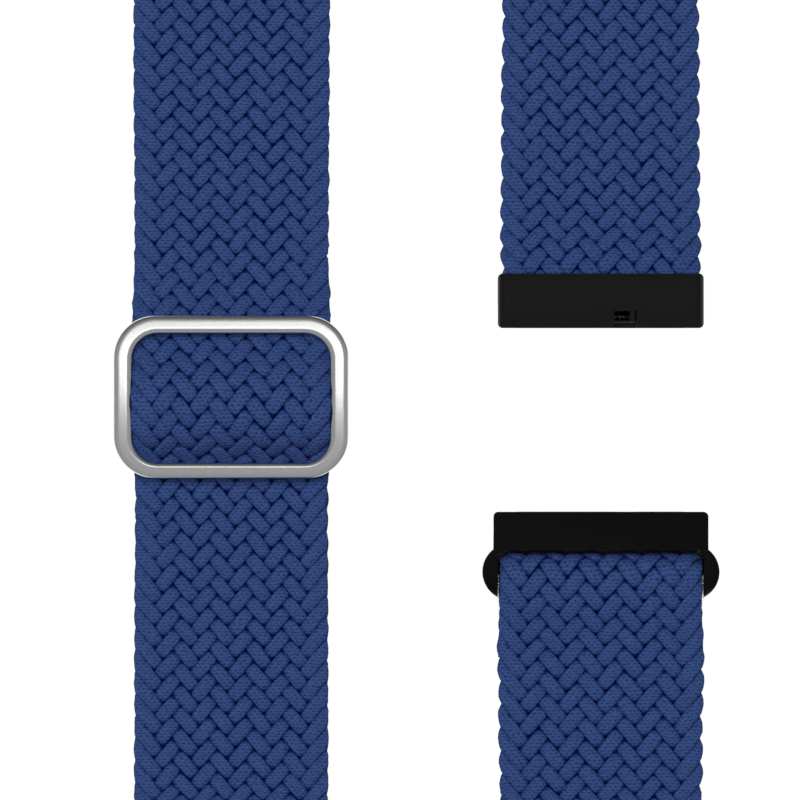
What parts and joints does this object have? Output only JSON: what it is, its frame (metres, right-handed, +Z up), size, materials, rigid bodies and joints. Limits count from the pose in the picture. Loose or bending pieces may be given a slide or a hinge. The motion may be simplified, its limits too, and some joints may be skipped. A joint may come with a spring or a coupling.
{
  "type": "braided elastic watch strap",
  "caption": "Braided elastic watch strap loop with a metal slider for length, two watch ends with quick-release spring bars, and an end that swings on a crossbar.",
  "frame": {"origin": "on the table under the middle of the closed loop, midway between the two straight columns and level with the slider's centre bar", "axes": "+Y along the straight columns, from the lower watch end towards the upper one; +Z up from the table, out of the webbing's outer face; +X from the slider's column to the watch ends' column"},
  "size_m": [0.0629, 0.149, 0.0204],
  "materials": {
    "braid": "matt braided polyester and rubber yarn, navy blue",
    "thread": "twisted sewing thread, navy blue",
    "slider_metal": "satin",
    "end_black": "black satin coating",
    "bar_steel": "turned steel, darkened",
    "spring_steel": "drawn wire"
  },
  "bodies": {
    "root": {"top_turn": "braid", "bottom_turn_outer": "braid", "bottom_turn_return": "braid", "left_upper_run": "braid", "left_lower_run": "braid", "left_return_run": "braid", "right_upper_run": "braid", "right_lower_run": "braid", "right_return_run": "braid"},
    "sewn_end": {"slider_hump": "braid", "sewn_end_loop": "braid", "bar_tacks": "thread"},
    "slider": {"slider_frame": "slider_metal", "slider_bar": "slider_metal"},
    "upper_end": {"clamped_webbing": "braid", "upper_housing": "end_black", "upper_clamp_plate": "end_black", "upper_clamp_screws": "bar_steel", "upper_bar_sleeve": "bar_steel", "upper_fixed_tip": "bar_steel", "upper_bar_spring": "spring_steel"},
    "upper_release": {"upper_release_tip": "bar_steel"},
    "stretched_end": {"crossbar_loop": "braid"},
    "lower_end": {"lower_housing": "end_black", "lower_crossbar": "bar_steel", "lower_bar_sleeve": "bar_steel", "lower_fixed_tip": "bar_steel", "lower_bar_spring": "spring_steel"},
    "lower_release": {"lower_release_tip": "bar_steel"}
  },
  "joints": [
    {"name": "slider_travel", "type": "slide", "parent": "root", "child": "sewn_end", "axis": [0, 1, 0], "range_m": [-0.01, 0.01], "deforming": ["left_upper_run", "left_lower_run", "left_return_run"]},
    {"name": "slider_tilt", "type": "hinge", "parent": "sewn_end", "child": "slider", "pos_m": [-0.0192, 0, 0.00255], "axis": [1, 0, 0], "range_deg": [-2.5, 2.5], "stiffness_Nm_per_rad": 0.01},
    {"name": "upper_end_feed", "type": "slide", "parent": "root", "child": "upper_end", "axis": [0, 1, 0], "range_m": [-0.01, 0.01], "deforming": ["right_upper_run"]},
    {"name": "upper_tip_release", "type": "slide", "parent": "upper_end", "child": "upper_release", "axis": [-1, 0, 0], "range_m": [0, 0.0012], "stiffness_N_per_m": 400, "springref_m": -0.0005, "deforming": ["upper_bar_spring"]},
    {"name": "strap_stretch", "type": "slide", "parent": "root", "child": "stretched_end", "axis": [0, 1, 0], "range_m": [0, 0.005], "stiffness_N_per_m": 300, "deforming": ["right_lower_run", "right_return_run"]},
    {"name": "lower_end_swing", "type": "hinge", "parent": "stretched_end", "child": "lower_end", "pos_m": [0.0192, -0.0187, 0.00255], "axis": [1, 0, 0], "range_deg": [-60, 60]},
    {"name": "lower_tip_release", "type": "slide", "parent": "lower_end", "child": "lower_release", "axis": [-1, 0, 0], "range_m": [0, 0.0012], "stiffness_N_per_m": 400, "springref_m": -0.0005, "deforming": ["lower_bar_spring"]}
  ],
  "couplings": [
    {"joint": "upper_end_feed", "follows": "slider_travel", "ratio": 1}
  ]
}
